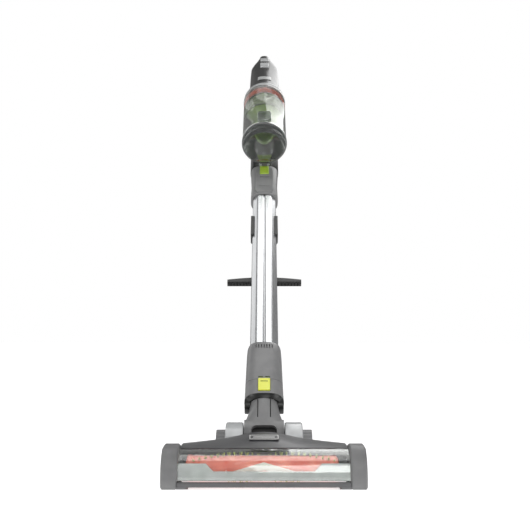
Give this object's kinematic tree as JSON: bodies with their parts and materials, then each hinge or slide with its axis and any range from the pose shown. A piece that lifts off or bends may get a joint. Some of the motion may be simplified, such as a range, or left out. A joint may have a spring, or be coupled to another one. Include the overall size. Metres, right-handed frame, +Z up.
{
  "type": "cordless stick vacuum",
  "caption": "Cordless stick vacuum with a wide floor head, ribbed rear wheels, steering neck, flat-fronted metal wand, clip-on tool, clear dust cup and a loop-handled motor unit.",
  "frame": {"origin": "on the floor under the neck hinge, on the bottom of the rear glide pad", "axes": "+X to the right across the floor head, +Y from the head towards the user, +Z up"},
  "size_m": [0.262, 0.9657, 0.7974],
  "materials": {
    "housing_grey": "satin moulded, fine texture",
    "hood_grey": "moulded, semi-gloss",
    "cap_grey": "satin moulded",
    "dark_plastic": "glossy moulded",
    "black_plastic": "matt moulded",
    "gloss_grey": "high-gloss moulded",
    "clear_plastic": "clear polycarbonate",
    "smoke_plastic": "smoked polycarbonate",
    "lime_plastic": "satin moulded",
    "yellow_plastic": "satin moulded",
    "green_plastic": "glossy moulded",
    "filter_orange": "pleated felt",
    "brush_red": "moulded core",
    "tuft_green": "nylon bristle",
    "rubber_black": "soft rubber",
    "wand_aluminium": "brushed and clear anodised",
    "steel": "turned"
  },
  "bodies": {
    "floor_head": {"nozzle_base": "dark_plastic", "nozzle_hood": "hood_grey", "emblem_plate": "gloss_grey", "brush_window": "clear_plastic", "window_trim": "gloss_grey", "front_bumper": "cap_grey", "suction_elbow": "black_plastic", "sole_plate": "black_plastic", "rear_glide": "rubber_black", "squeegee": "rubber_black", "drive_belt": "rubber_black", "brush_motor": "steel", "end_cap_left": "cap_grey", "end_cap_right": "cap_grey", "shoulder_left": "gloss_grey", "shoulder_right": "gloss_grey", "wheel_axle_left": "steel", "wheel_axle_right": "steel", "brush_bearing_left": "black_plastic", "brush_bearing_right": "black_plastic", "hinge_pin_left": "steel", "hinge_pin_right": "steel"},
    "brush_roll": {"brush_core": "brush_red", "brush_tufts": "tuft_green", "brush_pulley": "black_plastic"},
    "motor_drive": {"motor_pulley": "steel"},
    "left_wheel": {"wheel_left": "housing_grey"},
    "right_wheel": {"wheel_right": "housing_grey"},
    "neck": {"neck_duct": "housing_grey"},
    "collar": {"lower_collar": "housing_grey", "swivel_cuff": "dark_plastic"},
    "lower_button": {"collar_button": "yellow_plastic"},
    "wand": {"wand_tube": "wand_aluminium", "wand_spigot": "dark_plastic", "tool_clip": "dark_plastic", "upper_connector": "housing_grey"},
    "clip_on_tool": {"upholstery_tool": "dark_plastic", "tool_teeth": "rubber_black"},
    "upper_latch": {"connector_latch": "lime_plastic"},
    "hand_unit": {"inlet_duct": "dark_plastic", "motor_housing": "dark_plastic", "label_plate": "cap_grey", "handle_shell": "dark_plastic", "display_lens": "gloss_grey", "suction_motor": "steel"},
    "cup_release": {"release_lever": "lime_plastic"},
    "power_switch": {"power_button": "gloss_grey"},
    "fan": {"impeller": "black_plastic"},
    "battery": {"battery_pack": "dark_plastic"},
    "battery_catch": {"battery_latch": "lime_plastic"},
    "cup": {"dust_cup": "clear_plastic", "cup_ring": "cap_grey", "cyclone_cone": "green_plastic", "mesh_screen": "black_plastic", "filter_band": "filter_orange", "lid_hinge_pin": "steel"},
    "cup_lid": {"lid_rim": "cap_grey", "lid_pane": "clear_plastic"},
    "lid_catch": {"cup_latch": "smoke_plastic"}
  },
  "joints": [
    {"name": "brush_spin", "type": "hinge", "parent": "floor_head", "child": "brush_roll", "pos_m": [0, -0.103, 0.0205], "axis": [1, 0, 0], "continuous": true},
    {"name": "motor_spin", "type": "hinge", "parent": "floor_head", "child": "motor_drive", "pos_m": [0.099, -0.068, 0.0155], "axis": [1, 0, 0], "continuous": true},
    {"name": "left_wheel_spin", "type": "hinge", "parent": "floor_head", "child": "left_wheel", "pos_m": [-0.063, 0.022, 0.0205], "axis": [1, 0, 0], "continuous": true},
    {"name": "right_wheel_spin", "type": "hinge", "parent": "floor_head", "child": "right_wheel", "pos_m": [0.063, 0.022, 0.0205], "axis": [1, 0, 0], "continuous": true},
    {"name": "neck_pitch", "type": "hinge", "parent": "floor_head", "child": "neck", "pos_m": [0, 0, 0.04], "axis": [1, 0, 0], "range_deg": [-33, 47.5]},
    {"name": "collar_twist", "type": "hinge", "parent": "neck", "child": "collar", "pos_m": [0, 0.03712, 0.0735], "axis": [0, 0.7424, 0.6699], "range_deg": [-45, 45]},
    {"name": "lower_button_press", "type": "slide", "parent": "collar", "child": "lower_button", "axis": [0, 0.6699, -0.7424], "range_m": [0, 0.0012], "stiffness_N_per_m": 1500},
    {"name": "wand_pull", "type": "slide", "parent": "collar", "child": "wand", "axis": [0, 0.7424, 0.6699], "range_m": [0, 0.045]},
    {"name": "tool_pull", "type": "slide", "parent": "wand", "child": "clip_on_tool", "axis": [0, 0.6699, -0.7424], "range_m": [0, 0.06]},
    {"name": "upper_latch_press", "type": "slide", "parent": "wand", "child": "upper_latch", "axis": [0, 0.6699, -0.7424], "range_m": [0, 0.0012], "stiffness_N_per_m": 1500},
    {"name": "hand_unit_lift", "type": "slide", "parent": "wand", "child": "hand_unit", "axis": [0, 0.7424, 0.6699], "range_m": [0, 0.04]},
    {"name": "cup_release_slide", "type": "slide", "parent": "hand_unit", "child": "cup_release", "axis": [0, 0.7424, 0.6699], "range_m": [0, 0.004], "stiffness_N_per_m": 600},
    {"name": "power_press", "type": "slide", "parent": "hand_unit", "child": "power_switch", "axis": [0, 0.5459, -0.8378], "range_m": [0, 0.0012], "stiffness_N_per_m": 1200},
    {"name": "fan_spin", "type": "hinge", "parent": "hand_unit", "child": "fan", "pos_m": [0, 0.59373, 0.63633], "axis": [0, 0.7424, 0.6699], "continuous": true},
    {"name": "battery_slide", "type": "slide", "parent": "hand_unit", "child": "battery", "axis": [0, -0.7424, -0.6699], "range_m": [0, 0.05]},
    {"name": "battery_catch_press", "type": "slide", "parent": "battery", "child": "battery_catch", "axis": [0, -0.6699, 0.7424], "range_m": [0, 0.0012], "stiffness_N_per_m": 1500},
    {"name": "cup_slide", "type": "slide", "parent": "hand_unit", "child": "cup", "axis": [0, -0.7424, -0.6699], "range_m": [0, 0.06]},
    {"name": "lid_hinge", "type": "hinge", "parent": "cup", "child": "cup_lid", "pos_m": [0, 0.45743, 0.49003], "axis": [1, 0, 0], "range_deg": [0, 80]},
    {"name": "lid_catch_slide", "type": "slide", "parent": "cup", "child": "lid_catch", "axis": [0, 0.7424, 0.6699], "range_m": [0, 0.004], "stiffness_N_per_m": 600}
  ],
  "couplings": [
    {"joint": "motor_spin", "follows": "brush_spin", "ratio": 2}
  ]
}
